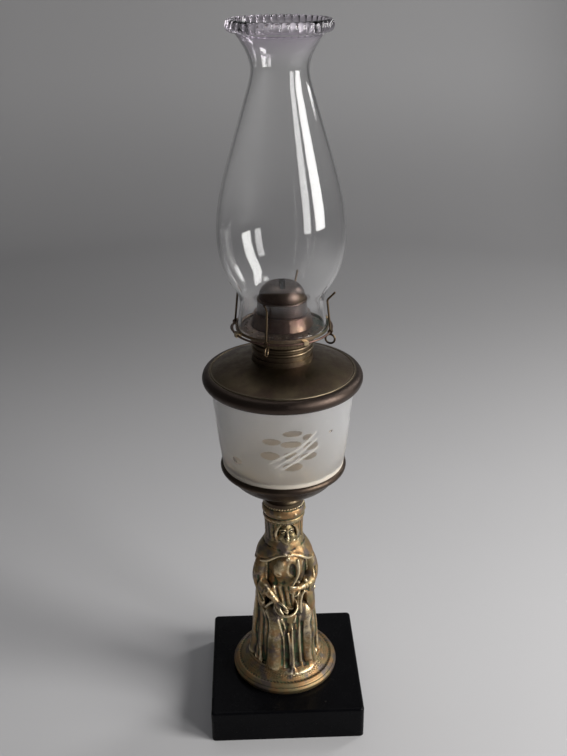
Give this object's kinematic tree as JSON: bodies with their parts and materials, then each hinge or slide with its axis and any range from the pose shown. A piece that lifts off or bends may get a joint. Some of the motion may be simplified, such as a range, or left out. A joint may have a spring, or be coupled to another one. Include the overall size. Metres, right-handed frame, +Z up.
{
  "type": "figural oil table lamp",
  "caption": "Figural oil lamp: square stone plinth, draped standing figure, frosted glass font, flat-wick burner with prongs and a beaded glass chimney.",
  "frame": {"origin": "centre of the plinth's underside, on the table", "axes": "+Z up along the tie rod, plinth's sides along X and Y, -Y is the front that the figure faces"},
  "size_m": [0.14, 0.14, 0.6201],
  "materials": {
    "plinth_stone": "black slate, honed to a dull satin",
    "cast_metal": "cast, worn gilt with brown and green patina in the recesses",
    "dark_brass": "spun brass with a dull bronze-brown patina",
    "burner_brass": "aged brass with brown and purple heat tint",
    "prong_wire": "dark spring wire",
    "steel": "plain, slightly dulled",
    "plaster": "matt plaster of Paris",
    "cotton": "flat woven wick, charred at the top",
    "frosted_glass": "acid-frosted outside with clear cut ovals and stems",
    "clear_glass": "clear, thin, with a faint lilac tint at the beaded rim"
  },
  "bodies": {
    "root": {"base_block": "plinth_stone", "base_washer": "steel", "base_nut": "steel", "tie_rod": "steel", "figure_foot": "cast_metal", "figure_robe": "cast_metal", "figure_cape": "cast_metal", "figure_head": "cast_metal", "figure_right_arm": "cast_metal", "figure_left_arm": "cast_metal", "held_bowl": "cast_metal", "stem_connector": "dark_brass", "font_cup": "dark_brass", "font_washer": "steel", "font_nut": "steel", "font_glass": "frosted_glass", "font_cement": "plaster", "font_cover": "dark_brass", "burner_collar": "burner_brass"},
    "burner": {"burner_base": "burner_brass", "gallery_plate": "burner_brass", "burner_drum": "burner_brass", "wick_tube": "burner_brass", "holder_ring": "burner_brass"},
    "winder": {"wick_spindle": "steel", "wick_spurs": "steel", "wick_knob": "burner_brass"},
    "wick": {"wick": "cotton"},
    "dome": {"deflector_dome": "burner_brass"},
    "chimney": {"chimney": "clear_glass"},
    "prong_1": {"prong_1": "prong_wire"},
    "prong_2": {"prong_2": "prong_wire"},
    "prong_3": {"prong_3": "prong_wire"},
    "prong_4": {"prong_4": "prong_wire"}
  },
  "joints": [
    {"name": "burner_lift", "type": "slide", "parent": "root", "child": "burner", "axis": [0, 0, 1], "range_m": [0, 0.115]},
    {"name": "dome_lift", "type": "slide", "parent": "burner", "child": "dome", "axis": [0, 0, 1], "range_m": [0, 0.03]},
    {"name": "chimney_lift", "type": "slide", "parent": "burner", "child": "chimney", "axis": [0, 0, 1], "range_m": [0, 0.06]},
    {"name": "winder_turn", "type": "hinge", "parent": "burner", "child": "winder", "pos_m": [-0.00575, 0, 0.3789], "axis": [0, -1, 0], "range_deg": [-122, 74]},
    {"name": "wick_feed", "type": "slide", "parent": "burner", "child": "wick", "axis": [0, 0, 1], "range_m": [-0.0095, 0.0057]},
    {"name": "prong_1_spring", "type": "hinge", "parent": "burner", "child": "prong_1", "pos_m": [-0.01402, -0.03853, 0.3816], "axis": [0.9397, -0.342, 0], "range_deg": [0, 10], "stiffness_Nm_per_rad": 0.02},
    {"name": "prong_2_spring", "type": "hinge", "parent": "burner", "child": "prong_2", "pos_m": [0.03853, -0.01402, 0.3816], "axis": [0.342, 0.9397, 0], "range_deg": [0, 10], "stiffness_Nm_per_rad": 0.02},
    {"name": "prong_3_spring", "type": "hinge", "parent": "burner", "child": "prong_3", "pos_m": [0.01402, 0.03853, 0.3816], "axis": [-0.9397, 0.342, 0], "range_deg": [0, 10], "stiffness_Nm_per_rad": 0.02},
    {"name": "prong_4_spring", "type": "hinge", "parent": "burner", "child": "prong_4", "pos_m": [-0.03853, 0.01402, 0.3816], "axis": [-0.342, -0.9397, 0], "range_deg": [0, 10], "stiffness_Nm_per_rad": 0.02}
  ],
  "couplings": [
    {"joint": "winder_turn", "follows": "wick_feed", "rad_per_m": 219.8}
  ]
}
